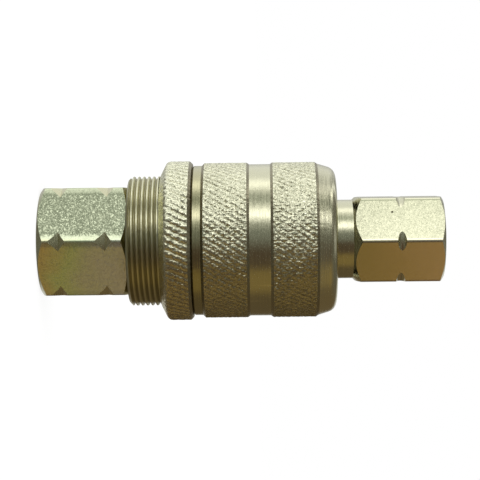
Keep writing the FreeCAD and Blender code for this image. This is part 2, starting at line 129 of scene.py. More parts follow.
class Value:
    """A node's output that takes part in Python arithmetic."""

    def __init__(self, graph: "Graph", socket: bpy.types.NodeSocket | None) -> None:
        """Keeps the socket and the graph that it belongs to."""
        self.graph = graph
        self.socket = socket

    def math_node(self, operation: str, *terms: "Value | float") -> "Value":
        """Adds one Math node over the given terms."""
        return self.graph.add("ShaderNodeMath", {"operation": operation}, dict(enumerate(terms)))

    __add__ = __radd__ = operator("ADD")
    __sub__ = operator("SUBTRACT")
    __rsub__ = operator("SUBTRACT", reflected=True)
    __mul__ = __rmul__ = operator("MULTIPLY")
    __truediv__ = operator("DIVIDE")
    __rtruediv__ = operator("DIVIDE", reflected=True)
    __pow__ = operator("POWER")
    __rpow__ = operator("POWER", reflected=True)

    def __neg__(self) -> "Value":
        """The opposite number."""
        return self.math_node("MULTIPLY", self, -1.0)

    def __abs__(self) -> "Value":
        """The size without the sign."""
        return self.math_node("ABSOLUTE", self)

    def around(self, other: "Value | float") -> "Value":
        """Angle of the point (other, self), from -pi to pi."""
        return self.math_node("ARCTAN2", self, other)

    def at_most_one(self) -> "Value":
        """This, but never over one."""
        return self.math_node("MINIMUM", self, 1.0)


class Graph:
    """Nodes of one material or of the world."""

    def __init__(self, tree: bpy.types.NodeTree) -> None:
        """Starts from an empty tree."""
        self.tree = tree
        tree.nodes.clear()

    def add(
        self,
        kind: str,
        settings: Mapping[str, object] | None = None,
        sockets: Mapping[str | int, object] | None = None,
        out: str | int = 0,
    ) -> Value:
        """Adds any node.

        Args:
            kind: The node's type.
            settings: Properties, and "stops" for a ramp, which are set before the sockets.
            sockets: Values or links, by the input's name or number.
            out: The output to return, by name or number.

        Returns:
            The chosen output.
        """
        node = self.tree.nodes.new(kind)
        for key, setting in (settings or {}).items():
            if key == "stops":
                self._set_stops(node.color_ramp, setting)
            else:
                setattr(node, key, setting)
        for key, given in (sockets or {}).items():
            target = node.inputs[key]
            if isinstance(given, Value):
                self.tree.links.new(given.socket, target)
            elif target.type == "RGBA":
                target.default_value = (*given, 1.0)
            else:
                target.default_value = given
        return Value(self, node.outputs[out] if len(node.outputs) else None)

    @staticmethod
    def _set_stops(ramp: bpy.types.ColorRamp, stops: Sequence[tuple[float, Colour]]) -> None:
        """Gives a ramp its stops, in rising order.

        Args:
            ramp: The ramp of a new node.
            stops: Places from 0 to 1 with their colours.
        """
        for _ in range(len(stops) - 2):
            ramp.elements.new(1.0)
        for element, (place, colour) in zip(ramp.elements, stops):
            element.position = place
            element.color = (*colour, 1.0)

    def vector(self, operation: str, sockets: Mapping[str | int, object]) -> Value:
        """Adds one Vector Math node."""
        return self.add("ShaderNodeVectorMath", {"operation": operation}, sockets)

    def place(self) -> Value:
        """Object coordinates, which are the common frame's, in metres."""
        return self.add("ShaderNodeTexCoord", out="Object")

    def axis(self, name: str) -> Value:
        """One object coordinate, "X", "Y" or "Z"."""
        return self.add("ShaderNodeSeparateXYZ", None, {0: self.place()}, name)

    def radius(self) -> Value:
        """Distance from the common axis, in metres."""
        return (self.axis("X") ** 2.0 + self.axis("Y") ** 2.0) ** 0.5

    def outwards(self) -> Value:
        """Direction away from the common axis."""
        across = self.vector("MULTIPLY", {0: self.place(), 1: (1.0, 1.0, 0.0)})
        return self.vector("NORMALIZE", {0: across})

    def noise(self, size: float, detail: float = 2.0, roughness: float = 0.5, shift: float = 0.0) -> Value:
        """Noise over the object.

        Args:
            size: Size of a feature in millimetres.
            detail: Octaves.
            roughness: Share of the fine octaves.
            shift: Moves the pattern, in metres, so that two of them differ.

        Returns:
            A number around 0.5.
        """
        moved = self.add("ShaderNodeMapping", None, {0: self.place(), 1: (shift, 2.3 * shift, -shift)})
        sockets = {"Vector": moved, "Scale": 1.0 / (size * MM), "Detail": detail, "Roughness": roughness}
        return self.add("ShaderNodeTexNoise", {"noise_dimensions": "3D"}, sockets)

    def lines(self, size: float, detail: float = 3.0, roughness: float = 0.6, shift: float = 0.0) -> Value:
        """Noise that changes along the axis only, as turning leaves it.

        Args:
            size: Size of a feature in millimetres.
            detail: Octaves.
            roughness: Share of the fine octaves.
            shift: Moves the pattern, in metres, so that two of them differ.

        Returns:
            A number around 0.5.
        """
        along = self.axis("Z") + shift
        sockets = {"W": along, "Scale": 1.0 / (size * MM), "Detail": detail, "Roughness": roughness}
        return self.add("ShaderNodeTexNoise", {"noise_dimensions": "1D"}, sockets)

    def mix(self, share: Value | float, low: Value | Colour, high: Value | Colour) -> Value:
        """Mixes two colours by a share from 0 to 1."""
        settings = {"data_type": "RGBA", "clamp_factor": True}
        return self.add("ShaderNodeMix", settings, {0: share, 6: low, 7: high}, 2)

    def spread(self, number: Value, low: float, high: float) -> Value:
        """Stretches a band of values to the range from 0 to 1."""
        return self.add("ShaderNodeMapRange", {"clamp": True}, {0: number, 1: low, 2: high})

    def bump(self, height: Value, depth: float) -> Value:
        """Turns a height into a normal; the depth is in millimetres."""
        return self.add("ShaderNodeBump", None, {"Height": height, "Distance": depth * MM})

    def grains(self, size: float, lean: Value | float, under: Value) -> Value:
        """Normal that leans another way on each grain of a plated surface.

        Args:
            size: Size of a grain in millimetres.
            lean: Width of the spread of the leaning.
            under: The normal to lean from.

        Returns:
            The new normal.
        """
        sockets = {"Vector": self.place(), "Scale": 1.0 / (size * MM)}
        cells = self.add("ShaderNodeTexVoronoi", None, sockets, "Color")
        centred = self.vector("SUBTRACT", {0: cells, 1: (0.5, 0.5, 0.5)})
        scaled = self.vector("SCALE", {"Vector": centred, "Scale": lean})
        leant = self.vector("ADD", {0: scaled, 1: under})
        return self.vector("NORMALIZE", {0: leant})

    def principled(self, **sockets: object) -> Value:
        """The main shader; a socket's name is written with underscores."""
        named = {key.replace("_", " "): given for key, given in sockets.items()}
        return self.add("ShaderNodeBsdfPrincipled", None, named)

    def surface(self, shader: Value) -> None:
        """Makes a shader the material's surface or the world's light.

        Args:
            shader: The shader to put out.
        """
        is_world = isinstance(self.tree.id_data, bpy.types.World)
        kind = "ShaderNodeOutputWorld" if is_world else "ShaderNodeOutputMaterial"
        self.add(kind, None, {"Surface": shader})


def new_graph(name: str) -> tuple[Material, Graph]:
    """Makes a material with an empty graph.

    Args:
        name: The material's name.

    Returns:
        The material and its graph.
    """
    material = bpy.data.materials.new(name)
    material.use_nodes = True
    return material, Graph(material.node_tree)


# Finishes


@dataclass(frozen=True)
class Plating:
    """Yellow zinc plating on steel, with the cast of colours that its passivation leaves; where a finish sets
    an edge along X, its casts go only on the lower side past it, as painted shade and painted reflection.
    """

    name: str
    surface: Surface
    tint: Colour = (0.78, 0.77, 0.52)
    casts: tuple[Colour, ...] = ((0.74, 0.75, 0.48), (0.80, 0.73, 0.48), (0.77, 0.75, 0.58))
    cast_from: float = 0.0
    cast_length: float = 60.0
    cast_share: float = 0.45
    # Edge along X in millimetres past which the casts go: a set edge puts painted shade and painted
    # reflection on the lower side
    cast_and_shade_edge: float = -1000.0
    cast_and_shade_blend: float = 1.0
    specks: float = 0.0
    gloss: float = 0.17
    haze: float = 0.0
    grain_size: float = 0.5
    grain_lean: float = 0.03
    ripple: float = 0.05
    coat: float = 0.0
    corner_r: float = 0.0
    corner_width: float = 0.5
    corner_lean: float = 0.8

    def material(self) -> Material:
        """Builds the material.

        Returns:
            The material.
        """
        material, graph = new_graph(self.name)
        colour = self._cast(graph)
        cloud = graph.spread(graph.noise(1.1, detail=3.0, roughness=0.6, shift=1.7), 0.3, 0.7)
        rough = cloud * 0.08 + (self.gloss - 0.04)
        normal = graph.add("ShaderNodeNewGeometry", out="Normal")
        lean = self.grain_lean
        if self.surface is Surface.KNURLED:
            depth = graph.add("ShaderNodeAttribute", {"attribute_name": "groove"}, out="Fac")
            # Painted shade: the deeper a point lies in a knurl groove, the darker its colour
            colour = graph.mix(depth * 0.25, colour, GROOVE_SHADE_TINT)
            specks = graph.spread(graph.noise(0.5, roughness=0.7, shift=3.1), 0.52, 0.70)
            specks = specks * (1.0 - self._cast_and_shade_side(graph))
            colour = graph.mix(specks * self.specks, colour, SPECK_TINT)
            rough = rough + depth * 0.10
        elif self.surface is Surface.THREADED:
            crest_r = reach("coupler_body") * MM
            depth = graph.spread(graph.radius(), crest_r, crest_r - THREAD_DEPTH * MM)
            # Painted shade: darker towards the thread's roots
            colour = graph.mix(depth * 0.5, colour, ROOT_SHADE_TINT)
        elif self.surface is Surface.TURNED:
            marks = graph.spread(graph.lines(0.22, detail=4.0, roughness=0.65, shift=0.3), 0.40, 0.80)
            colour = graph.mix(marks * 0.22, colour, MARK_TINT)
            rough = rough + graph.spread(graph.lines(0.30, roughness=0.7), 0.45, 0.75) * 0.22
            normal = graph.bump(graph.lines(1.6, detail=6.0, roughness=0.62, shift=0.7), self.ripple)
        elif self.surface is Surface.DRAWN:
            worn_from = self.corner_r - self.corner_width
            worn = graph.spread(graph.radius(), worn_from * MM, (worn_from + self.corner_width / 2) * MM)
            lift = worn * self.corner_lean
            normal = graph.vector("MULTIPLY_ADD", {0: graph.outwards(), 1: lift, 2: normal})
            lean = (1.0 - worn * 0.7) * self.grain_lean
        normal = graph.grains(self.grain_size, lean, normal)
        steel = graph.principled(
            Base_Color=colour, Metallic=1.0 - self.haze, Roughness=rough, Normal=normal,
            Coat_Weight=self.coat, Coat_Roughness=0.06,
        )
        graph.surface(steel)
        return material

    def _cast(self, graph: Graph) -> Value:
        """Colour that drifts along the axis, unevenly, through the finish's casts, mixed in past the edge
        along X; on a lower side this is painted shade and painted reflection.

        Args:
            graph: The material's graph.

        Returns:
            The colour.
        """
        drift = (graph.axis("Z") - self.cast_from * MM) / (self.cast_length * MM)
        drift = drift + (graph.noise(14.0, shift=0.4) - 0.5) * 0.8
        stops = [(i / (len(self.casts) - 1), cast) for i, cast in enumerate(self.casts)]
        cast = graph.add("ShaderNodeValToRGB", {"stops": stops}, {0: drift})
        # Past a set edge, on the lower side, the casts are painted shade and painted reflection
        return graph.mix(self._cast_and_shade_side(graph) * self.cast_share, self.tint, cast)

    def _cast_and_shade_side(self, graph: Graph) -> Value:
        """One past the edge along X, else zero: the lower side, where some finishes paint shade and
        reflection; with the default edge, everywhere.
        """
        low, high = self.cast_and_shade_edge - self.cast_and_shade_blend, self.cast_and_shade_edge + self.cast_and_shade_blend
        return graph.spread(graph.axis("X"), low * MM, high * MM)


@dataclass
class Finishes:
    """Materials that several pieces share, each made once."""

    turned: Material
    coarse: Material
    rear: Material
    knurled: Material
    # Painted shade on slopes beside the bands, the lock ring's end at the sleeve and pits in a flat
    edges: Material
    threaded: Material
    wire: Material

    @classmethod
    def made(cls) -> "Finishes":
        """Makes the materials.

        Returns:
            All of them.
        """
        dull = (0.72, 0.70, 0.46)
        brown = (0.55, 0.53, 0.31)
        edge_shade = (0.33, 0.30, 0.20)
        shared = (
            Plating("plated_turned", Surface.TURNED, coat=0.25),
            Plating("plated_coarse_turned", Surface.TURNED, tint=dull, coat=0.3, ripple=0.10),
            Plating("plated_rear_band", Surface.TURNED, tint=brown, cast_share=0.2, coat=0.2),
            # Painted light and shade: a pale tint on top and darker casts on the lower side
            Plating(
                "plated_knurled_painted_shade", Surface.KNURLED, tint=(0.98, 0.98, 0.74),
                casts=((0.63, 0.60, 0.38), (0.65, 0.59, 0.39), (0.60, 0.57, 0.40)), cast_share=1.0,
                cast_and_shade_edge=4.0, cast_and_shade_blend=5.0, specks=0.45, gloss=0.23, haze=0.008, grain_size=0.34,
                grain_lean=0.38,
            ),
            # Painted shade: a dark tint for slopes, ends and pits
            Plating("plated_edges_painted_shade", Surface.TURNED, tint=edge_shade, cast_share=0.1, gloss=0.28),
            Plating(
                "plated_threads_painted_shade", Surface.THREADED, tint=(0.78, 0.80, 0.60), gloss=0.32, grain_size=0.35,
                grain_lean=0.10,
            ),
            BareSteel("spring_wire", (0.50, 0.50, 0.52), gloss=0.32, marks=0.012),
        )
        return cls(*(finish.material() for finish in shared))


@dataclass(frozen=True)
class BareSteel:
    """Unplated steel of springs, wire rings, valves and balls."""

    name: str
    tint: Colour
    gloss: float
    marks: float

    def material(self) -> Material:
        """Builds the material.

        Returns:
            The material.
        """
        material, graph = new_graph(self.name)
        cloud = graph.spread(graph.noise(3.8, detail=3.0, roughness=0.6, shift=2.2), 0.35, 0.75)
        darker = tuple(0.72 * part for part in self.tint)
        colour = graph.mix(cloud * 0.6, self.tint, darker)
        dulled = graph.spread(graph.noise(0.7, roughness=0.6, shift=0.9), 0.3, 0.7)
        rough = dulled * 0.12 + (self.gloss - 0.06)
        normal = graph.bump(graph.noise(0.26, roughness=0.6, shift=4.4), self.marks)
        graph.surface(graph.principled(Base_Color=colour, Metallic=1.0, Roughness=rough, Normal=normal))
        return material


@dataclass(frozen=True)
class Moulding:
    """Nitrile of the seals and hard plastic of the backup ring."""

    name: str
    tint: Colour
    bloom: Colour
    gloss: float

    def material(self) -> Material:
        """Builds the material.

        Returns:
            The material.
        """
        material, graph = new_graph(self.name)
        bloom = graph.spread(graph.noise(2.4, detail=4.0, roughness=0.6, shift=1.1), 0.45, 0.8)
        colour = graph.mix(bloom * 0.5, self.tint, self.bloom)
        normal = graph.bump(graph.noise(0.19, shift=2.9), 0.01)
        graph.surface(graph.principled(Base_Color=colour, Roughness=bloom * 0.2 + self.gloss, Normal=normal))
        return material


# Modelling steps with Blender's operators, on one piece at a time


def take(piece: Piece) -> None:
    """Selects one piece alone and makes it active.

    Args:
        piece: The piece.
    """
    if bpy.context.mode != "OBJECT":
        bpy.ops.object.mode_set(mode="OBJECT")
    bpy.ops.object.select_all(action="DESELECT")
    piece.select_set(True)
    bpy.context.view_layer.objects.active = piece


def edit(piece: Piece, *, select: bool = True) -> None:
    """Opens a piece for editing with all of it selected, or nothing.

    Args:
        piece: The piece.
        select: Whether all of it is selected.
    """
    take(piece)
    bpy.ops.object.mode_set(mode="EDIT")
    bpy.ops.mesh.select_mode(type="VERT")
    bpy.ops.mesh.select_all(action="SELECT" if select else "DESELECT")


def done() -> None:
    """Goes back to object mode."""
    bpy.ops.object.mode_set(mode="OBJECT")


def apply(piece: Piece, modifier: bpy.types.Modifier) -> None:
    """Makes a modifier's result the piece's own mesh."""
    take(piece)
    bpy.ops.object.modifier_apply(modifier=modifier.name)


def fresh(add: Callable[..., object], location: Sequence[float] = (0, 0, 0), **sizes: object) -> Piece:
    """Adds a primitive, whose place becomes its mesh's own.

    Args:
        add: The operator that adds it.
        location: Where it goes, in metres.
        sizes: The operator's other values.

    Returns:
        The new piece.
    """
    bpy.ops.object.select_all(action="DESELECT")
    add(location=location, **sizes)
    bpy.ops.object.transform_apply(location=True, rotation=True, scale=True)
    return bpy.context.active_object


def linked(name: str, data: bpy.types.ID) -> Piece:
    """A new object in the scene.

    Args:
        name: The object's name.
        data: Its mesh, lamp or camera.

    Returns:
        The object.
    """
    piece = bpy.data.objects.new(name, data)
    bpy.context.scene.collection.objects.link(piece)
    return piece


def outline(name: str, section: Sequence[Point]) -> Piece:
    """Draws a closed section in the XZ plane by extruding one vertex from corner to corner.

    Args:
        name: The piece's name.
        section: Corners as (radius, height) in millimetres.

    Returns:
        The piece, with edges only.
    """
    piece = fresh(bpy.ops.mesh.primitive_plane_add, size=MM)
    piece.name = piece.data.name = name
    edit(piece)
    bpy.ops.mesh.merge(type="CENTER")
    bpy.ops.mesh.select_all(action="SELECT")
    bpy.ops.transform.translate(value=(section[0][0] * MM, 0, section[0][1] * MM))
    for (r0, z0), (r1, z1) in zip(section, section[1:]):
        step = ((r1 - r0) * MM, 0, (z1 - z0) * MM)
        bpy.ops.mesh.extrude_region_move(TRANSFORM_OT_translate={"value": step})
    ends = [Vector((r * MM, 0, z * MM)) for r, z in (section[0], section[-1])]
    pick(piece, lambda vert: min((vert.co - end).length for end in ends) < NEAR)
    bpy.ops.mesh.edge_face_add()
    done()
    return piece


def pick(piece: Piece, wanted: Callable[[bmesh.types.BMVert], bool]) -> None:
    """Selects the vertices of the piece in edit mode that meet a test, and no others.

    Args:
        piece: The piece.
        wanted: The test for a vertex.
    """
    bpy.ops.mesh.select_all(action="DESELECT")
    mesh = bmesh.from_edit_mesh(piece.data)
    for vert in mesh.verts:
        vert.select_set(wanted(vert))
    mesh.select_flush_mode()
    bmesh.update_edit_mesh(piece.data)


def close() -> None:
    """Merges doubles and turns all faces outwards."""
    bpy.ops.mesh.select_all(action="SELECT")
    bpy.ops.mesh.remove_doubles(threshold=DOUBLES)
    bpy.ops.mesh.normals_make_consistent(inside=False)


def spun(name: str, section: Sequence[Point], steps: int) -> Piece:
    """Spins a closed section about the axis into a solid ring.

    Args:
        name: The piece's name.
        section: Corners as (radius, height) in millimetres.
        steps: Steps of the turn.

    Returns:
        The ring.
    """
    piece = outline(name, section)
    edit(piece)
    bpy.ops.mesh.spin(steps=steps, angle=2 * math.pi, center=(0, 0, 0), axis=(0, 0, 1))
    close()
    done()
    return piece


def coil(name: str, section: Sequence[Point], pitch: float, turns: float, steps: int) -> Piece:
    """Winds a closed section about the axis into a right-hand coil with closed ends.

    Args:
        name: The piece's name.
        section: Corners as (radius, height) in millimetres, at the coil's lower end.
        pitch: Rise of a turn in millimetres.
        turns: Number of turns.
        steps: Steps of a turn.

    Returns:
        The coil.
    """
    piece = outline(name, section)
    wind = piece.modifiers.new("wind", "SCREW")
    wind.axis = "Z"
    wind.angle = 2 * math.pi * turns
    wind.screw_offset = pitch * turns * MM
    wind.steps = wind.render_steps = round(steps * turns)
    apply(piece, wind)
    edit(piece)
    bpy.ops.mesh.fill_holes(sides=0)
    close()
    done()
    return piece


def disc(radius: float, thickness: float, middle: float, sides: int) -> Piece:
    """A disc on the axis with its middle at a height, in millimetres."""
    sizes = {"vertices": sides, "radius": radius * MM, "depth": thickness * MM}
    return fresh(bpy.ops.mesh.primitive_cylinder_add, (0, 0, middle * MM), **sizes)


def copy_of(node: str, name: str) -> Piece:
    """A merged copy of a CAD node's mesh, as a new piece.

    Args:
        node: The CAD node.
        name: The copy's name.

    Returns:
        The copy.
    """
    piece = linked(name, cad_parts[node].data.copy())
    piece.data.name = name
    take(piece)
    bpy.ops.mesh.customdata_custom_splitnormals_clear()
    edit(piece)
    bpy.ops.mesh.remove_doubles(threshold=DOUBLES)
    done()
    return piece


def combine(piece: Piece, tool: Piece, operation: str) -> None:
    """Combines a piece with another one, which is used up.

    Args:
        piece: The piece that stays.
        tool: The other one.
        operation: How the boolean modifier combines them.
    """
    both = piece.modifiers.new("combine", "BOOLEAN")
    both.operation = operation
    both.solver = "EXACT"
    both.object = tool
    apply(piece, both)
    bpy.data.objects.remove(tool)
    edit(piece)
    bpy.ops.mesh.dissolve_degenerate(threshold=DOUBLES)
    close()
    done()


def cut(piece: Piece, cutter: Piece) -> None:
    """Takes the cutter's shape out of the piece."""
    combine(piece, cutter, "DIFFERENCE")


def join(piece: Piece, other: Piece) -> None:
    """Makes the other piece one with the piece."""
    combine(piece, other, "UNION")


def smooth(piece: Piece, degrees: float) -> None:
    """Shades the piece smooth over edges that turn less than an angle."""
    take(piece)
    bpy.ops.object.shade_smooth_by_angle(angle=math.radians(degrees))


def rows(items: bpy.types.bpy_prop_collection, name: str) -> Array:
    """A vector that all vertices or faces have, one in each row.

    Args:
        items: The mesh's vertices or faces.
        name: The vector's name.

    Returns:
        The vectors.
    """
    values = np.empty(3 * len(items))
    items.foreach_get(name, values)
    return values.reshape(-1, 3)


def pick_faces(piece: Piece, test: FaceTest) -> None:
    """Opens a piece for editing with only those faces selected that a test finds.

    Args:
        piece: The piece.
        test: Takes the faces' centres in millimetres and their normals, and says which to take.
    """
    faces = piece.data.polygons
    chosen = test(rows(faces, "center") / MM, rows(faces, "normal"))
    edit(piece, select=False)
    bpy.ops.mesh.select_mode(type="FACE")
    mesh = bmesh.from_edit_mesh(piece.data)
    for face, wanted in zip(mesh.faces, chosen):
        face.select_set(bool(wanted))
    bmesh.update_edit_mesh(piece.data)


def flatten(piece: Piece, test: FaceTest) -> None:
    """Shades the faces that a test finds flat, so that each keeps its own normal.

    Args:
        piece: The piece.
        test: Says which faces to take.
    """
    pick_faces(piece, test)
    bpy.ops.mesh.faces_shade_flat()
    done()


def paint(piece: Piece, base: Material, *areas: tuple[Material, FaceTest]) -> None:
    """Gives a piece its materials.

    Args:
        piece: The piece.
        base: The material that goes all over.
        areas: Further materials, each with the test for its faces.
    """
    piece.data.materials.clear()
    for material in (base, *(material for material, _ in areas)):
        piece.data.materials.append(material)
    faces = piece.data.polygons
    faces.foreach_set("material_index", np.zeros(len(faces), np.int32))
    for place, (_, test) in enumerate(areas, 1):
        pick_faces(piece, test)
        piece.active_material_index = place
        bpy.ops.object.material_slot_assign()
        done()


def heights(node: str) -> Point:
    """Lowest and highest point of a CAD node, in millimetres."""
    low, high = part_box(node)
    return low.z / MM, high.z / MM


def reach(node: str) -> float:
    """How far a CAD node goes from the axis along +X, in millimetres."""
    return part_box(node)[1].x / MM


def rounded_corner(before: Point, corner: Point, after: Point, radius: float, steps: int) -> list[Point]:
    """Points of the arc that rounds one corner of a section.

    Args:
        before: The corner before.
        corner: The corner to round.
        after: The corner after.
        radius: The arc's radius.
        steps: Steps of the arc.

    Returns:
        The points in order.
    """
    back = (Vector(before) - Vector(corner)).normalized()
    ahead = (Vector(after) - Vector(corner)).normalized()
    half = back.angle(ahead) / 2
    centre = Vector(corner) + (back + ahead).normalized() * (radius / math.sin(half))
    start = Vector(corner) + back * (radius / math.tan(half)) - centre
    end = Vector(corner) + ahead * (radius / math.tan(half)) - centre
    turn = math.pi - 2 * half
    arc = []
    for i in range(steps + 1):
        share = i / steps
        spot = (start * math.sin((1 - share) * turn) + end * math.sin(share * turn)) / math.sin(turn)
        arc.append(tuple(centre + spot))
    return arc


def groove(root_r: float, mouth_r: float, level: float, root_flat: float, half_angle: float) -> list[Point]:
    """Corners of a thread groove's section.

    Args:
        root_r: Radius of the bottom in millimetres, as all lengths are.
        mouth_r: Radius of the open side.
        level: Height of the middle.
        root_flat: Width of the bottom.
        half_angle: Slope of a flank in degrees.

    Returns:
        Four corners.
    """
    root = root_flat / 2
    mouth = root + abs(mouth_r - root_r) * math.tan(math.radians(half_angle))
    (inner_r, inner), (outer_r, outer) = sorted(((root_r, root), (mouth_r, mouth)))
    below = [(inner_r, level - inner), (outer_r, level - outer)]
    return below + [(outer_r, level + outer), (inner_r, level + inner)]


def stands_for(piece: Piece, node: str) -> None:
    """Hides the CAD node that a finished piece stands in for and logs the piece's faces.

    Args:
        piece: The piece.
        node: The CAD node.
    """
    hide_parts(node)
    LOG.info("%s: %d faces for %s", piece.name, len(piece.data.polygons), node)


# Knurls


@dataclass
class Knurl:
    """A rolled knurl on a round band: two crossing families of grooves. Sizes in millimetres."""

    low: float
    high: float
    inner_r: float
    count: int
    period: float
    main_depth: float
    cross_depth: float
    seed: int
    lead: float = 0.0
    pitting: float = 0.11
    uneven: float = 0.40
    row: float = 0.36
    ridge: float = 0.40
    flank: float = 0.52
    strengths: Point = (0.70, 1.15)
    end_share: float = 0.35
    slack: float = 0.001
    root_margin: float = 0.2

    def levels(self) -> list[float]:
        """Heights of the rows of the band's mesh."""
        last = round((self.high - self.low) / self.row)
        return [self.low + (self.high - self.low) * i / last for i in range(last + 1)]

    def covers(self, height: Array, radius: Array) -> Array:
        """Which points lie on the band or on the lead below it."""
        between = (height > self.low - self.lead - self.slack) & (height < self.high + self.slack)
        return between & (radius > self.inner_r)

    def press(self, piece: Piece) -> None:
        """Presses the grooves into the band of a spun piece and keeps each point's depth share.

        Args:
            piece: A piece with rows at the knurl's levels.
        """
        mesh = piece.data
        spots = rows(mesh.vertices, "co") / MM
        radius = np.hypot(spots[:, 0], spots[:, 1])
        height = spots[:, 2]
        on_band = self.covers(height, radius)
        depth = np.where(on_band, self._depth(np.arctan2(spots[:, 1], spots[:, 0]), height), 0.0)
        spots[:, :2] *= ((radius - depth) / radius)[:, None]
        mesh.vertices.foreach_set("co", spots.ravel() * MM)
        share = mesh.attributes.get("groove") or mesh.attributes.new("groove", "FLOAT", "POINT")
        kept = np.empty(len(radius))
        share.data.foreach_get("value", kept)
        share.data.foreach_set("value", np.where(on_band, depth / self.main_depth, kept))
        mesh.update()

    def _depth(self, angle: Array, height: Array) -> Array:
        """Depth of the grooves at points of the band, a little uneven as rolling leaves it.

        Args:
            angle: Where the points are round the axis, in radians.
            height: Their heights.

        Returns:
            The depths.
        """
        around = angle * self.count / (2 * math.pi)
        along = (height - self.low) / self.period
        # Slow waves keep the grooves from being quite straight
        wander = 0.05 * np.sin(5 * angle + 1.7 * along) + 0.04 * np.sin(11 * angle - 2.9 * along + self.seed)
        chance = np.random.default_rng(self.seed)
        main = self.main_depth * self._groove(around - along + wander, chance)
        cross = self.cross_depth * self._groove(around + along - wander, chance)
        uneven = chance.normal(1.0, self.uneven, len(angle))
        uneven *= 1.0 + 0.25 * np.sin(3 * angle + self.seed) * np.sin(0.9 * along + 2 * angle)
        pitted = self.pitting * chance.random(len(angle))
        return (np.maximum(main, cross) * np.clip(uneven, 0.0, None) + pitted) * self._run_out(height)

    def _groove(self, turns: Array, chance: np.random.Generator) -> Array:
        """Depth share across one family of grooves, some deeper than others: 0 on a ridge, 1 at the root.

        Args:
            turns: Places of the points across the grooves, counted in grooves.
            chance: Gives each groove its strength.

        Returns:
            The shares.
        """
        line = np.floor(turns)
        ramp = 1.0 - np.abs(2.0 * (turns - line) - 1.0)
        strength = chance.uniform(*self.strengths, self.count)[line.astype(int) % self.count]
        return np.clip((ramp - self.ridge) / self.flank, 0.0, 1.0) * strength

    def _run_out(self, height: Array) -> Array:
        """How the grooves get shallow: over the lead below the band, or within a row at its ends.

        Args:
            height: Heights of the points.

        Returns:
            Shares of the full depth.
        """
        below = np.clip((height - self.low + self.lead) / max(self.lead, self.row), 0.0, 1.0)
        above = np.clip((self.high - height) / self.row, 0.0, 1.0)
        rest = 1.0 - self.end_share
        if not self.lead:
            below = self.end_share + rest * below
        return below * (self.end_share + rest * above)

    def holds(self, centres: Array, _: Array) -> Array:
        """Faces of the pressed band.

        Args:
            centres: The faces' centres in millimetres.
            _: Their normals, which are not used.

        Returns:
            Which faces they are.
        """
        radius = np.hypot(centres[:, 0], centres[:, 1])
        between = (centres[:, 2] > self.low - self.lead) & (centres[:, 2] < self.high)
        return between & (radius > self.inner_r - self.main_depth - self.root_margin)


# Sub-assemblies


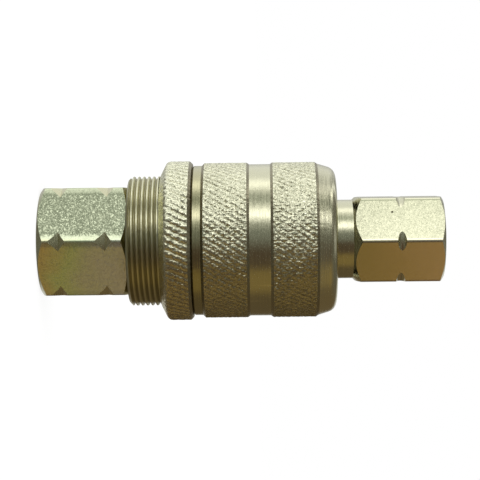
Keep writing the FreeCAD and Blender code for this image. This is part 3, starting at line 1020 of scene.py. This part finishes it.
@dataclass
class Sleeve:
    """Sliding sleeve with a smooth rear band, two knurled bands, a waist and a rounded nose."""

    rear_band: float = 3.2
    knurl_band: float = 13.4
    waist_band: float = 7.0
    slope: float = 0.8
    rear_drop: float = 0.85
    waist_drop: float = 0.55
    nose_drop: float = 2.2
    nose_round: float = 3.2
    skirt_gap: float = 0.32
    flange_r: float = 14.78
    flange_height: float = 4.0
    land_r: float = 15.8
    ramp_top_r: float = 17.13
    ramp_length: float = 8.3
    lip: float = 1.6
    edge: float = 0.5
    band_margin: float = 0.05
    edge_slope: float = 0.3
    steps: int = 720

    def __post_init__(self) -> None:
        """Takes the sleeve's place and reach from the frame."""
        self.low, self.top = heights("sleeve")
        self.flange_low = heights("sleeve_spring")[1]
        self.knurl_r = reach("sleeve")
        self.skirt_r = reach("coupler_body") + self.skirt_gap
        rear_low = self.low + self.rear_band
        front_low = rear_low + self.knurl_band + self.waist_band
        self.knurls = (
            self._knurl(rear_low, cross_depth=0.10, seed=3),
            self._knurl(front_low, cross_depth=0.15, seed=8),
        )

    def _knurl(self, low: float, cross_depth: float, seed: int) -> Knurl:
        """The knurl of one band between its two slopes."""
        half = self.slope / 2
        return Knurl(
            low=low + half, high=low + self.knurl_band - half, inner_r=self.knurl_r - self.band_margin,
            count=76, period=2.9, main_depth=0.22, cross_depth=cross_depth, seed=seed,
        )

    def section(self) -> list[Point]:
        """Corners of the section, up the outside and down the inside.

        Returns:
            Corners as (radius, height) in millimetres.
        """
        rear, front = self.knurls
        rear_r = self.knurl_r - self.rear_drop
        waist_r = self.knurl_r - self.waist_drop
        nose_low = (waist_r, front.high + self.slope)
        mouth = (self.ramp_top_r + self.edge, self.top)
        nose_end = (self.knurl_r - self.nose_drop, self.top)
        outside = [
            (self.skirt_r + self.edge, self.low),
            (rear_r - self.edge, self.low),
            (rear_r, self.low + self.edge),
            (rear_r, rear.low - self.slope),
            *((self.knurl_r, z) for z in rear.levels()),
            (waist_r, rear.high + self.slope),
            (waist_r, front.low - self.slope),
            *((self.knurl_r, z) for z in front.levels()),
            nose_low,
            *rounded_corner(nose_low, nose_end, mouth, self.nose_round, steps=10),
        ]
        inside = [
            mouth,
            (self.ramp_top_r, self.top - self.edge),
            (self.ramp_top_r, self.top - self.lip),
            (self.land_r, self.top - self.lip - self.ramp_length),
            (self.land_r, self.flange_low + self.flange_height),
            (self.flange_r, self.flange_low + self.flange_height),
            (self.flange_r, self.flange_low),
            (self.skirt_r, self.flange_low),
            (self.skirt_r, self.low + self.edge),
        ]
        return outside + inside

    def build(self) -> Piece:
        """Spins the sleeve and presses both knurls.

        Returns:
            The sleeve.
        """
        piece = spun("sleeve_knurled", self.section(), self.steps)
        for knurl in self.knurls:
            knurl.press(piece)
        smooth(piece, degrees=28)
        return piece

    def _is_knurled(self, centres: Array, normals: Array) -> Array:
        """Faces of both knurled bands."""
        rear, front = self.knurls
        return rear.holds(centres, normals) | front.holds(centres, normals)

    def _is_nose(self, centres: Array, _: Array) -> Array:
        """Faces of the rounded nose."""
        return centres[:, 2] > self.knurls[1].high + self.slope

    def _is_rear(self, centres: Array, _: Array) -> Array:
        """Faces of the rear band."""
        return centres[:, 2] < self.knurls[0].low - self.slope

    def _is_edge(self, centres: Array, normals: Array) -> Array:
        """Faces of the slopes beside the knurls and of the end at the lock ring.

        Args:
            centres: The faces' centres in millimetres.
            normals: Their normals.

        Returns:
            Which faces they are.
        """
        outside = np.hypot(centres[:, 0], centres[:, 1]) > self.skirt_r + 2 * self.edge
        sloped = np.abs(normals[:, 2]) > self.edge_slope
        other = self._is_knurled(centres, normals) | self._is_nose(centres, normals)
        return outside & sloped & ~other

    def dress(self, piece: Piece, finishes: Finishes) -> None:
        """Gives the bands their finishes and ties the sleeve to its body.

        Args:
            piece: The built piece.
            finishes: The shared materials.
        """
        paint(
            piece,
            finishes.turned,
            (finishes.knurled, self._is_knurled),
            (finishes.coarse, self._is_nose),
            (finishes.rear, self._is_rear),
            # Painted shade on the slopes and on the end at the lock ring
            (finishes.edges, self._is_edge),
        )
        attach(piece, "sleeve")
        stands_for(piece, "sleeve")


@dataclass
class LockRing:
    """Knurled ring with a sloped lower side that is screwed up against the sleeve."""

    bore_gap: float = 0.05
    slope: float = 2.0
    slope_round: float = 1.6
    slope_rows: int = 7
    top_edge: float = 0.8
    edge: float = 0.5
    steps: int = 700

    def __post_init__(self) -> None:
        """Takes the ring's place and reach from the frame."""
        self.low, self.top = heights("lock_ring")
        self.rim_r = reach("lock_ring")
        self.bore_r = reach("coupler_body") + self.bore_gap
        lead = self.slope + self.slope_round
        self.knurl = Knurl(
            low=self.low + lead, high=self.top - self.top_edge, inner_r=self.bore_r + self.edge / 2,
            count=72, period=4.2, main_depth=0.38, cross_depth=0.10, seed=5, lead=lead, pitting=0.07,
            uneven=0.18,
        )

    def section(self) -> list[Point]:
        """Corners of the section, up the outside and down the bore.

        Returns:
            Corners as (radius, height) in millimetres.
        """
        foot = (self.bore_r + self.edge, self.low)
        corner = (self.rim_r, self.low + self.slope)
        rim_top = (self.rim_r, self.knurl.high)
        arc = rounded_corner(foot, corner, rim_top, self.slope_round, steps=6)
        rise = (Vector(arc[0]) - Vector(foot)) / self.slope_rows
        return [
            (self.bore_r, self.low),
            *(tuple(Vector(foot) + rise * i) for i in range(self.slope_rows)),
            *arc,
            *((self.rim_r, z) for z in self.knurl.levels()),
            (self.rim_r - self.top_edge, self.top),
            (self.bore_r + self.edge, self.top),
            (self.bore_r, self.top - self.edge),
        ]

    def build(self) -> Piece:
        """Spins the ring and presses its knurl, which runs out over the slope.

        Returns:
            The ring.
        """
        piece = spun("lock_ring_knurled", self.section(), self.steps)
        self.knurl.press(piece)
        smooth(piece, degrees=28)
        return piece

    def _is_edge(self, centres: Array, _: Array) -> Array:
        """Faces of the end at the sleeve."""
        return centres[:, 2] > self.knurl.high

    def dress(self, piece: Piece, finishes: Finishes) -> None:
        """Gives rim and sides their finishes and ties the ring to its body.

        Args:
            piece: The built piece.
            finishes: The shared materials.
        """
        # Painted shade on the end at the sleeve
        paint(
            piece, finishes.turned, (finishes.knurled, self.knurl.holds), (finishes.edges, self._is_edge)
        )
        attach(piece, "lock_ring")
        stands_for(piece, "lock_ring")


@dataclass
class LockThread:
    """Threaded body: the CAD shape, its ring grooves made one right-hand thread. Sizes in millimetres."""

    pitch: float = 1.5
    depth: float = THREAD_DEPTH
    root_flat: float = 0.1
    half_angle: float = 30.0
    core_drop: float = 0.4
    overlap: float = 0.5
    inset: float = 0.03
    steps: int = 128
    rim_steps: int = 150

    def __post_init__(self) -> None:
        """Takes the thread's place and reach from the frame."""
        self.low = heights("coupler_body")[0]
        self.top = heights("sleeve_spring")[0]
        self.crest_r = reach("coupler_body")
        self.root_r = self.crest_r - self.depth
        self.core_r = self.root_r - self.core_drop

    def _stock(self) -> Piece:
        """The ring that takes the grooved rim away down to the core.

        Returns:
            The cutter.
        """
        past = self.crest_r + 2 * self.depth
        low, top = self.low - self.depth, self.top + self.depth
        section = [(self.core_r, low), (past, low), (past, top), (self.core_r, top)]
        return spun("thread_stock", section, self.steps)

    def _rim(self) -> Piece:
        """The new rim with chamfered ends, its thread cut.

        Returns:
            The rim.
        """
        inner_r = self.core_r - self.overlap
        low, top = self.low + self.inset, self.top - self.inset
        section = [
            (inner_r, low),
            (self.root_r, low),
            (self.crest_r, low + self.depth),
            (self.crest_r, top - self.depth),
            (self.root_r, top),
            (inner_r, top),
        ]
        rim = spun("thread_rim", section, self.rim_steps)
        mouth_r = self.crest_r + PAST_CREST
        notch = groove(self.root_r, mouth_r, self.low - self.pitch, self.root_flat, self.half_angle)
        turns = math.ceil((self.top - self.low) / self.pitch) + 2
        cut(rim, coil("thread_groove", notch, self.pitch, turns, self.steps))
        return rim

    def build(self) -> Piece:
        """Copies the node and changes its rim.

        Returns:
            The body.
        """
        piece = copy_of("coupler_body", "coupler_body_threaded")
        cut(piece, self._stock())
        join(piece, self._rim())
        smooth(piece, degrees=25)
        return piece

    def dress(self, piece: Piece, finishes: Finishes) -> None:
        """Gives the body its finish and ties it to its place.

        Args:
            piece: The built piece.
            finishes: The shared materials.
        """
        paint(piece, finishes.threaded)
        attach(piece, "coupler")
        stands_for(piece, "coupler_body")


@dataclass
class PortThread:
    """Pipe thread inside a port, cut as a coil. Sizes in millimetres."""

    core_r: float
    depth: float
    pitch: float
    low: float
    turns: int
    root_flat: float = 0.25
    half_angle: float = 27.5
    steps: int = 72

    def cutter(self, name: str) -> Piece:
        """The coil to take away, open past the crests.

        Args:
            name: The coil's name.

        Returns:
            The coil.
        """
        root_r, mouth_r = self.core_r + self.depth, self.core_r - PAST_CREST
        notch = groove(root_r, mouth_r, self.low, self.root_flat, self.half_angle)
        return coil(name, notch, self.pitch, self.turns, self.steps)


@dataclass
class Dent:
    """A pit in a hexagon's flat: direction in degrees before the hexagon's turn, sizes in millimetres."""

    direction: float
    along: float
    across: float
    radius: float


@dataclass
class HexEnd:
    """A hexagonal end piece: the CAD shape with its port thread cut and its flats finished apart."""

    node: str
    body: str
    across_flats: float
    turn: float
    hex_low: float
    hex_high: float
    port: PortThread
    flats: Plating
    dents: tuple[Dent, ...] = ()
    level_slope: float = 0.05
    flat_margin: float = 0.3
    flat_within: float = 0.5
    dent_margin: float = 1.02

    def _is_drawn(self, centres: Array, normals: Array) -> Array:
        """Faces of the hexagon's flats and rounded corners.

        Args:
            centres: The faces' centres in millimetres.
            normals: Their normals.

        Returns:
            Which faces they are.
        """
        level = np.abs(normals[:, 2]) < self.level_slope
        outside = np.hypot(centres[:, 0], centres[:, 1]) > self.across_flats / 2 - self.flat_margin
        between = (centres[:, 2] > self.hex_low) & (centres[:, 2] < self.hex_high)
        return level & outside & between

    def _is_flat(self, centres: Array, normals: Array) -> Array:
        """Faces of the six flats without the corners.

        Args:
            centres: The faces' centres in millimetres.
            normals: Their normals.

        Returns:
            Which faces they are.
        """
        direction = np.degrees(np.arctan2(normals[:, 1], normals[:, 0])) - self.turn
        sixth = 60.0
        off = np.abs((direction + sixth / 2) % sixth - sixth / 2)
        return self._is_drawn(centres, normals) & (off < self.flat_within)

    def _is_dent(self, centres: Array, _: Array) -> Array:
        """Faces inside the dents.

        Args:
            centres: The faces' centres in millimetres.
            _: Their normals, which are not used.

        Returns:
            Which faces they are.
        """
        inside = np.zeros(len(centres), bool)
        for dent in self.dents:
            away = np.linalg.norm(centres - np.array(self._spot(dent)), axis=1)
            inside |= away < dent.radius * self.dent_margin
        return inside

    def _spot(self, dent: Dent) -> Vector:
        """Centre of the ball that presses a dent, in millimetres."""
        turn = Matrix.Rotation(math.radians(self.turn + dent.direction), 3, "Z")
        return turn @ Vector((self.across_flats / 2, dent.across, self.hex_low + dent.along))

    def _punch(self, dent: Dent) -> Piece:
        """The ball that presses a dent."""
        sizes = {"segments": 20, "ring_count": 12, "radius": dent.radius * MM}
        return fresh(bpy.ops.mesh.primitive_uv_sphere_add, self._spot(dent) * MM, **sizes)

    def build(self) -> Piece:
        """Copies the node, cuts the port's thread and presses the dents.

        Returns:
            The end piece.
        """
        piece = copy_of(self.node, self.node + "_threaded")
        cut(piece, self.port.cutter(self.node + "_port_thread"))
        for dent in self.dents:
            cut(piece, self._punch(dent))
        smooth(piece, degrees=20)
        flatten(piece, self._is_flat)
        return piece

    def dress(self, piece: Piece, finishes: Finishes) -> None:
        """Gives flats and turned faces their finishes and ties the piece to its body.

        Args:
            piece: The built piece.
            finishes: The shared materials.
        """
        drawn = self.flats.material()
        # Painted shade in the pits
        paint(piece, finishes.turned, (drawn, self._is_drawn), (finishes.edges, self._is_dent))
        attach(piece, self.body)
        stands_for(piece, self.node)


@dataclass
class Spring:
    """A compression spring with ground ends between two bodies. Sizes in millimetres."""

    node: str
    fixed_body: str
    moving_body: str
    mean_r: float
    wire: float
    turns: float
    moving_end_up: bool = True
    shortens_with: str = ""
    shortest: float = 1.0
    wire_sides: int = 14
    turn_steps: int = 44
    disc_sides: int = 50

    def build(self) -> Piece:
        """Winds the wire and grinds both ends flat.

        Returns:
            The spring.
        """
        low, high = heights(self.node)
        half = self.wire / 2
        corners = [2 * math.pi * (i + 0.5) / self.wire_sides for i in range(self.wire_sides)]
        section = [(self.mean_r + half * math.cos(turn), low + half * math.sin(turn)) for turn in corners]
        pitch = (high - low) / self.turns
        piece = coil(self.node + "_wound", section, pitch, self.turns, self.turn_steps)
        for middle in (low - self.wire, high + self.wire):
            cut(piece, disc(self.mean_r + self.wire, 2 * self.wire, middle, self.disc_sides))
        smooth(piece, degrees=40)
        return piece

    def dress(self, piece: Piece, finishes: Finishes) -> None:
        """Gives the spring its finish and ties it to its fixed body, or bakes its place into its mesh.

        Args:
            piece: The built piece.
            finishes: The shared materials.
        """
        paint(piece, finishes.wire)
        fixed_end, moving_end = (Vector((0, 0, z * MM)) for z in heights(self.node))
        if not self.moving_end_up:
            fixed_end, moving_end = moving_end, fixed_end
        if self.shortens_with:
            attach(piece, self.fixed_body)
            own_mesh(piece)
        else:
            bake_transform(piece)
        stands_for(piece, self.node)


@dataclass
class PlainPieces:
    """CAD nodes that keep their shape and get a finish."""

    finishes: tuple[tuple[BareSteel | Moulding, tuple[str, ...]], ...] = (
        (
            BareSteel("wire_steel", (0.56, 0.56, 0.58), gloss=0.30, marks=0.010),
            ("sleeve_stop_ring", "plug_valve_clip"),
        ),
        (
            BareSteel("turned_valve_steel", (0.66, 0.65, 0.62), gloss=0.26, marks=0.006),
            ("coupler_valve", "plug_valve", "coupler_valve_guide", "plug_valve_guide"),
        ),
        (
            BareSteel("polished_ball_steel", (0.78, 0.78, 0.79), gloss=0.10, marks=0.001),
            tuple("locking_ball_%d" % (i + 1) for i in range(BALLS)),
        ),
        (
            Moulding("black_nitrile", (0.022, 0.022, 0.023), (0.06, 0.06, 0.058), gloss=0.48),
            ("adapter_seal", "plug_seal", "coupler_valve_seal", "plug_valve_seal"),
        ),
        (
            Moulding("white_backup_plastic", (0.80, 0.79, 0.75), (0.70, 0.68, 0.62), gloss=0.42),
            ("backup_ring",),
        ),
    )

    def dress(self) -> None:
        """Puts each finish on its nodes."""
        for finish, nodes in self.finishes:
            material = finish.material()
            for node in nodes:
                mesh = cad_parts[node].data
                mesh.materials.clear()
                mesh.materials.append(material)
            LOG.info("%s: on %d nodes", finish.name, len(nodes))


# Studio


@dataclass(frozen=True)
class Card:
    """A sector of the reflector drum, in degrees from the camera's side round towards the lit side."""

    start: float
    end: float
    light: Colour


@dataclass(frozen=True)
class Patch:
    """A lighter or darker patch of the drum, by slope from the camera and by angle in radians.

    Each edge is soft: its two values are where it starts and where it ends. A patch under the set has its
    angles towards the unlit side, and slopes both up and down.
    """

    gain: float
    slope_from: Point
    slope_to: Point = NEVER
    angle_from: Point = (0.0, 0.3)
    angle_to: Point = NEVER
    under: bool = False

    def share(self, graph: Graph, slope: Value, angle: Value) -> Value:
        """What the patch adds to the cards' light, as a share of it.

        Args:
            graph: The drum's graph.
            slope: Slope of a place, seen from the camera's height.
            angle: Angle round the drum.

        Returns:
            The share.
        """
        if self.under:
            slope, angle = abs(slope), -angle
        by_slope = graph.spread(slope, *self.slope_from) - graph.spread(slope, *self.slope_to)
        by_angle = graph.spread(angle, *self.angle_from) - graph.spread(angle, *self.angle_to)
        return by_slope * by_angle * (self.gain - 1.0)


@dataclass
class Studio:
    """Pale floor, soft lamps, camera, and the reflector drum that the metal mirrors. Sizes in millimetres."""

    camera_distance: float = 454.0
    camera_height: float = 66.3
    aim_height: float = 59.6
    camera_roll: float = -0.6
    lens: float = 112.5
    lamp_aim: float = 60.0
    floor_width: float = 40000.0
    floor_glow: float = 0.82
    drum_r: float = 700.0
    drum_reach: float = 1300.0
    drum_sides: int = 144
    brightest: float = 2.0
    fade: Point = (0.55, 1.35)
    fade_share: float = 0.97
    fade_tone: Colour = (0.06, 0.057, 0.047)
    cap: Point = (3.5, 6.0)
    cap_tone: Colour = (0.24, 0.24, 0.23)
    patches: tuple[Patch, ...] = (
        Patch(2.1, (0.07, 0.11), (0.17, 0.32), (0.70, 0.88), (1.25, 1.45)),
        Patch(1.35, (0.11, 0.20), under=True),
        Patch(2.8, (0.80, 0.90), (1.0, 1.15)),
        Patch(0.6, (0.40, 0.55), (0.78, 0.88)),
    )
    cards: tuple[Card, ...] = (
        Card(-180, -168, (0.50, 0.50, 0.48)),
        Card(-155, -92, (0.098, 0.072, 0.039)),
        Card(-78, -50, (0.19, 0.136, 0.052)),
        Card(-38, -14, (0.072, 0.052, 0.036)),
        Card(3, 14, (0.18, 0.19, 0.17)),
        Card(26, 27, (0.36, 0.37, 0.34)),
        Card(35, 40, (1.8, 1.8, 1.8)),
        Card(51, 53, (0.62, 0.63, 0.60)),
        Card(59, 68, (0.29, 0.31, 0.28)),
        Card(78, 79, (0.66, 0.67, 0.64)),
        Card(87, 95, (1.4, 1.4, 1.4)),
        Card(106, 140, (0.84, 0.85, 0.86)),
        Card(165, 180, (0.50, 0.50, 0.48)),
    )

    def _floor(self) -> None:
        """A wide pale floor that keeps a soft shadow of the set."""
        floor = fresh(bpy.ops.mesh.primitive_plane_add, size=self.floor_width * MM)
        floor.name = "floor"
        material, graph = new_graph("floor_paper")
        tone = graph.mix(graph.noise(160.0, shift=0.2) * 0.3, (0.90, 0.90, 0.89), (0.87, 0.87, 0.86))
        paper = graph.add("ShaderNodeBsdfDiffuse", None, {"Color": tone})
        glow = graph.add("ShaderNodeEmission", None, {"Color": WHITE, "Strength": 1.05})
        lit = self._seen(graph) * self.floor_glow
        graph.surface(graph.add("ShaderNodeMixShader", None, {0: lit, 1: paper, 2: glow}))
        floor.data.materials.append(material)
        floor.visible_glossy = False

    @staticmethod
    def _seen(graph: Graph) -> Value:
        """One for rays from the camera, from reflections and through glass, else zero.

        Args:
            graph: The material's graph.

        Returns:
            The number.
        """
        names = ("Is Camera Ray", "Is Glossy Ray", "Is Transmission Ray")
        camera, glossy, through = (graph.add("ShaderNodeLightPath", out=name) for name in names)
        return (camera + glossy + through).at_most_one()

    def _world(self) -> None:
        """A white world that gives even, soft light."""
        world = bpy.data.worlds.new("white_room")
        world.use_nodes = True
        world.cycles.sampling_method = "NONE"
        bpy.context.scene.world = world
        graph = Graph(world.node_tree)
        graph.surface(graph.add("ShaderNodeBackground", None, {"Color": WHITE, "Strength": 1.0}))

    def _drum(self) -> None:
        """A drum of cards that only reflections see: table, room, strip lights and ceiling."""
        drum = disc(self.drum_r, 2 * self.drum_reach, self.camera_height, self.drum_sides)
        drum.name = "reflector_drum"
        material, graph = new_graph("reflector_cards")
        across, deep = graph.axis("X"), graph.axis("Y")
        angle = (-across).around(-deep)
        stops = []
        for card in self.cards:
            light = tuple(part / self.brightest for part in card.light)
            stops += [((card.start + 180.0) / 360.0, light), ((card.end + 180.0) / 360.0, light)]
        cards = graph.add("ShaderNodeValToRGB", {"stops": stops}, {0: angle * (0.5 / math.pi) + 0.5})
        slope = (graph.axis("Z") - self.camera_height * MM) / graph.radius()
        gain = sum((patch.share(graph, slope, angle) for patch in self.patches), 1.0)
        cards = graph.vector("SCALE", {"Vector": cards, "Scale": gain})
        faded = graph.spread(abs(slope), *self.fade) * self.fade_share
        shaded = graph.mix(faded, cards, self.fade_tone)
        shaded = graph.mix(graph.spread(slope, *self.cap), shaded, self.cap_tone)
        graph.surface(graph.add("ShaderNodeEmission", None, {"Color": shaded, "Strength": self.brightest}))
        material.cycles.emission_sampling = "NONE"
        drum.data.materials.append(material)
        drum.visible_camera = drum.visible_diffuse = drum.visible_shadow = False

    def _lamp(self, name: str, place: tuple[float, float, float], size: float, power: float) -> None:
        """A soft square lamp that looks at the set and isn't mirrored by it.

        Args:
            name: The lamp's name.
            place: Where it hangs, in metres.
            size: Its width in metres.
            power: Its power in watts.
        """
        data = bpy.data.lights.new(name, "AREA")
        data.size = size
        data.energy = power
        lamp = linked(name, data)
        lamp.location = place
        look = Vector((0, 0, self.lamp_aim * MM)) - Vector(place)
        lamp.rotation_euler = look.to_track_quat("-Z", "Y").to_euler()
        lamp.visible_glossy = False

    def _camera(self) -> None:
        """A camera level with the set and turned on its side, as the photograph shows the set lying."""
        data = bpy.data.cameras.new("camera")
        data.lens = self.lens
        data.sensor_width = 36.0
        data.clip_start = 0.01
        camera = linked("camera", data)
        stand = Vector((0, -self.camera_distance, self.camera_height)) * MM
        back = (stand - Vector((0, 0, self.aim_height)) * MM).normalized()
        right = Vector((-1, 0, 0)).cross(back).normalized()
        up = back.cross(right)
        roll = Matrix.Rotation(math.radians(self.camera_roll), 3, "Z")
        turn = Matrix((right, up, back)).transposed() @ roll
        camera.matrix_world = Matrix.Translation(stand) @ turn.to_4x4()
        bpy.context.scene.camera = camera

    def build(self) -> None:
        """Sets up everything that isn't the object."""
        bpy.context.scene.view_settings.view_transform = "Standard"
        self._floor()
        self._world()
        self._drum()
        self._lamp("key_lamp", place=(-1.1, -0.5, 1.3), size=1.0, power=8.0)
        self._lamp("fill_lamp", place=(0.9, -1.0, 1.2), size=1.2, power=3.0)
        self._camera()
        LOG.info("studio ready")


# The whole set


def corner_reach(node: str) -> float:
    """How far a CAD node goes from the axis along -Y, in millimetres."""
    return -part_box(node)[0].y / MM


def adapter_end() -> HexEnd:
    """The inlet adapter with a half-inch port.

    Returns:
        The end to build.
    """
    top = heights("coupler_body")[0]
    # Painted reflection: only the lower flats take the casts, warm browns drifting along the axis
    flats = Plating(
        "plated_adapter_flats_painted_reflection", Surface.DRAWN, tint=(0.61, 0.66, 0.46),
        casts=((0.80, 0.66, 0.33), (0.69, 0.82, 0.42), (0.72, 0.76, 0.58), (0.74, 0.75, 0.68)),
        cast_length=top, cast_share=1.0, cast_and_shade_edge=0.0, gloss=0.20, haze=0.055, grain_size=0.31,
        grain_lean=0.32, corner_r=corner_reach("coupler_adapter"), corner_width=1.1, corner_lean=0.63,
    )
    return HexEnd(
        "coupler_adapter", "coupler", across_flats=32.0, turn=0.0, hex_low=0.2, hex_high=top,
        port=PortThread(core_r=9.315, depth=1.16, pitch=1.814, low=-2.0, turns=9), flats=flats,
    )


def plug_end() -> HexEnd:
    """The plug with a three-eighth-inch port and the pit in its upper flat.

    Returns:
        The end to build.
    """
    top = heights("plug_body")[1]
    hex_length = 27.1
    port_length = 13.0
    # Painted reflection: browner casts on the lower flats alone
    flats = Plating(
        "plated_plug_flats_painted_reflection", Surface.DRAWN, tint=(0.83, 0.82, 0.60),
        casts=((0.76, 0.67, 0.41), (0.84, 0.71, 0.47), (0.93, 0.77, 0.60)), cast_from=top - hex_length,
        cast_length=hex_length, cast_share=1.0, cast_and_shade_edge=0.9, gloss=0.18, haze=0.012, grain_size=0.3,
        grain_lean=0.055, corner_r=corner_reach("plug_body"), corner_width=0.3, corner_lean=0.35,
    )
    return HexEnd(
        "plug_body", "plug", across_flats=25.0, turn=3.5, hex_low=top - hex_length, hex_high=top,
        port=PortThread(core_r=7.475, depth=0.86, pitch=1.337, low=top - port_length, turns=11),
        flats=flats, dents=(Dent(direction=-120.0, along=11.4, across=-2.5, radius=0.36),),
    )


def springs() -> tuple[Spring, ...]:
    """The sleeve's spring and those of both valves."""
    return (
        Spring(
            "sleeve_spring", "coupler", "sleeve", mean_r=17.81, wire=2.2, turns=4,
            shortens_with="sleeve_slide", shortest=0.611,
        ),
        Spring("coupler_valve_spring", "coupler", "coupler_valve", mean_r=5.58, wire=1.1, turns=4.5),
        Spring(
            "plug_valve_spring", "plug", "plug_valve", mean_r=4.48, wire=0.8, turns=4.5, moving_end_up=False
        ),
    )


def build_all() -> None:
    """Builds and dresses every sub-assembly in order."""
    bpy.ops.object.select_all(action="DESELECT")
    finishes = Finishes.made()
    for part in (Sleeve(), LockThread(), LockRing(), adapter_end(), plug_end(), *springs()):
        part.dress(part.build(), finishes)
    PlainPieces().dress()


def main() -> None:
    """Builds the looks and the studio."""
    logging.basicConfig(level=logging.INFO, format="%(message)s")
    build_all()
    Studio().build()
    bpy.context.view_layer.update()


if __name__ == "__main__":
    main()
